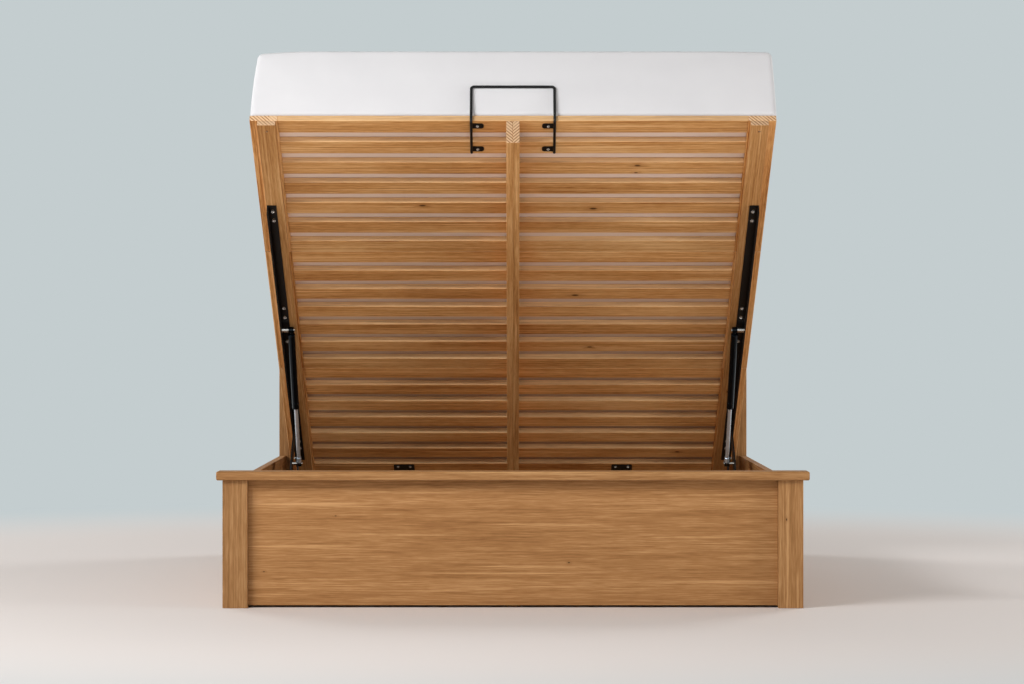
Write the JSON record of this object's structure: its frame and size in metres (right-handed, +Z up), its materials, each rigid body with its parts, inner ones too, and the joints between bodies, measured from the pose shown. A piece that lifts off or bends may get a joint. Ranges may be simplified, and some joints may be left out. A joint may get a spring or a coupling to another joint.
{
  "type": "ottoman storage bed",
  "caption": "King-size timber bed frame with a slatted deck that lifts on levers and gas struts over a storage well, with its mattress and lifting handle.",
  "frame": {"origin": "centre of the footprint, on the floor", "axes": "+Z up, +Y from the foot of the bed towards the headboard, +X to the right seen from the foot"},
  "size_m": [1.653, 2.1644, 1.5849],
  "materials": {
    "oak": "satin",
    "oak_panel": "satin",
    "pine_slat": "satin",
    "pine_bearer": "satin",
    "softwood": "matte",
    "floor_board": "matte",
    "black_steel": "satin",
    "black_gloss": "gloss",
    "chrome_rod": "polished",
    "zinc_steel": "satin",
    "mattress_cloth": "matte"
  },
  "bodies": {
    "bed_frame": {"foot_post_left": "oak", "foot_post_right": "oak", "foot_panel": "oak_panel", "foot_cap": "oak", "head_post_left": "oak", "head_post_right": "oak", "head_panel": "oak_panel", "head_cap": "oak", "side_rail_left": "oak_panel", "side_rail_right": "oak_panel", "side_ledger_left": "softwood", "side_ledger_right": "softwood", "floor_ledger_left": "softwood", "floor_ledger_right": "softwood", "floor_joist": "softwood", "foot_floor_cleat": "softwood", "head_floor_cleat": "softwood", "floor_panel_1": "floor_board", "floor_panel_2": "floor_board", "floor_panel_3": "floor_board", "corner_brackets": "zinc_steel", "corner_screws": "zinc_steel", "side_plate_left": "black_steel", "side_plate_right": "black_steel", "plate_packer_left": "softwood", "plate_packer_right": "softwood", "plate_screws": "zinc_steel", "fixed_pins": "zinc_steel"},
    "rear_links": {"rear_link_left": "black_steel", "rear_link_right": "black_steel"},
    "lift_deck": {"slats_head": "pine_slat", "slats_middle": "pine_slat", "slats_foot": "pine_slat", "side_boards_head": "pine_slat", "side_boards_middle": "pine_slat", "side_boards_foot": "pine_slat", "side_bearer_left": "pine_bearer", "side_bearer_right": "pine_bearer", "centre_bearer_left": "pine_bearer", "centre_bearer_right": "pine_bearer", "lift_bar_left": "black_steel", "lift_bar_right": "black_steel", "bar_screws": "zinc_steel", "rear_link_pins": "zinc_steel", "upper_stud_stubs": "zinc_steel", "lift_handle": "black_steel", "handle_screws": "zinc_steel", "head_plates": "black_steel", "head_plate_screws": "zinc_steel", "mattress": "mattress_cloth"},
    "levers": {"lever_left": "black_steel", "lever_right": "black_steel", "lever_top_pins": "zinc_steel", "lower_strut_studs": "zinc_steel"},
    "strut_rods": {"strut_rod_left": "chrome_rod", "strut_rod_right": "chrome_rod"},
    "strut_cylinders": {"strut_cylinder_left": "black_gloss", "strut_cylinder_right": "black_gloss", "upper_eye_pins": "zinc_steel"}
  },
  "joints": [
    {"name": "rear_link_swing", "type": "hinge", "parent": "bed_frame", "child": "rear_links", "pos_m": [0, 0.70005, 0.135], "axis": [-1, 0, 0], "range_deg": [0, 47.67], "stiffness_Nm_per_rad": 400, "springref_deg": -143.24},
    {"name": "deck_tilt", "type": "hinge", "parent": "rear_links", "child": "lift_deck", "pos_m": [0, 0.71244, 0.34313], "axis": [1, 0, 0], "range_deg": [0, 80.58]},
    {"name": "lever_swing", "type": "hinge", "parent": "bed_frame", "child": "levers", "pos_m": [0, 0.31068, 0.165], "axis": [-1, 0, 0], "range_deg": [0, 34.23]},
    {"name": "strut_swing", "type": "hinge", "parent": "levers", "child": "strut_rods", "pos_m": [0, 0.39825, 0.34], "axis": [1, 0, 0], "range_deg": [0, 84.34]},
    {"name": "strut_slide", "type": "slide", "parent": "strut_rods", "child": "strut_cylinders", "axis": [0, 0.6329, -0.7742], "range_m": [0, 0.14575]}
  ],
  "couplings": [
    {"joint": "deck_tilt", "follows": "rear_link_swing", "ratio": 1.6902},
    {"joint": "lever_swing", "follows": "rear_link_swing", "ratio": 0.71793},
    {"joint": "strut_swing", "follows": "rear_link_swing", "ratio": 1.7692},
    {"joint": "strut_slide", "follows": "rear_link_swing", "m_per_rad": 0.17507}
  ]
}
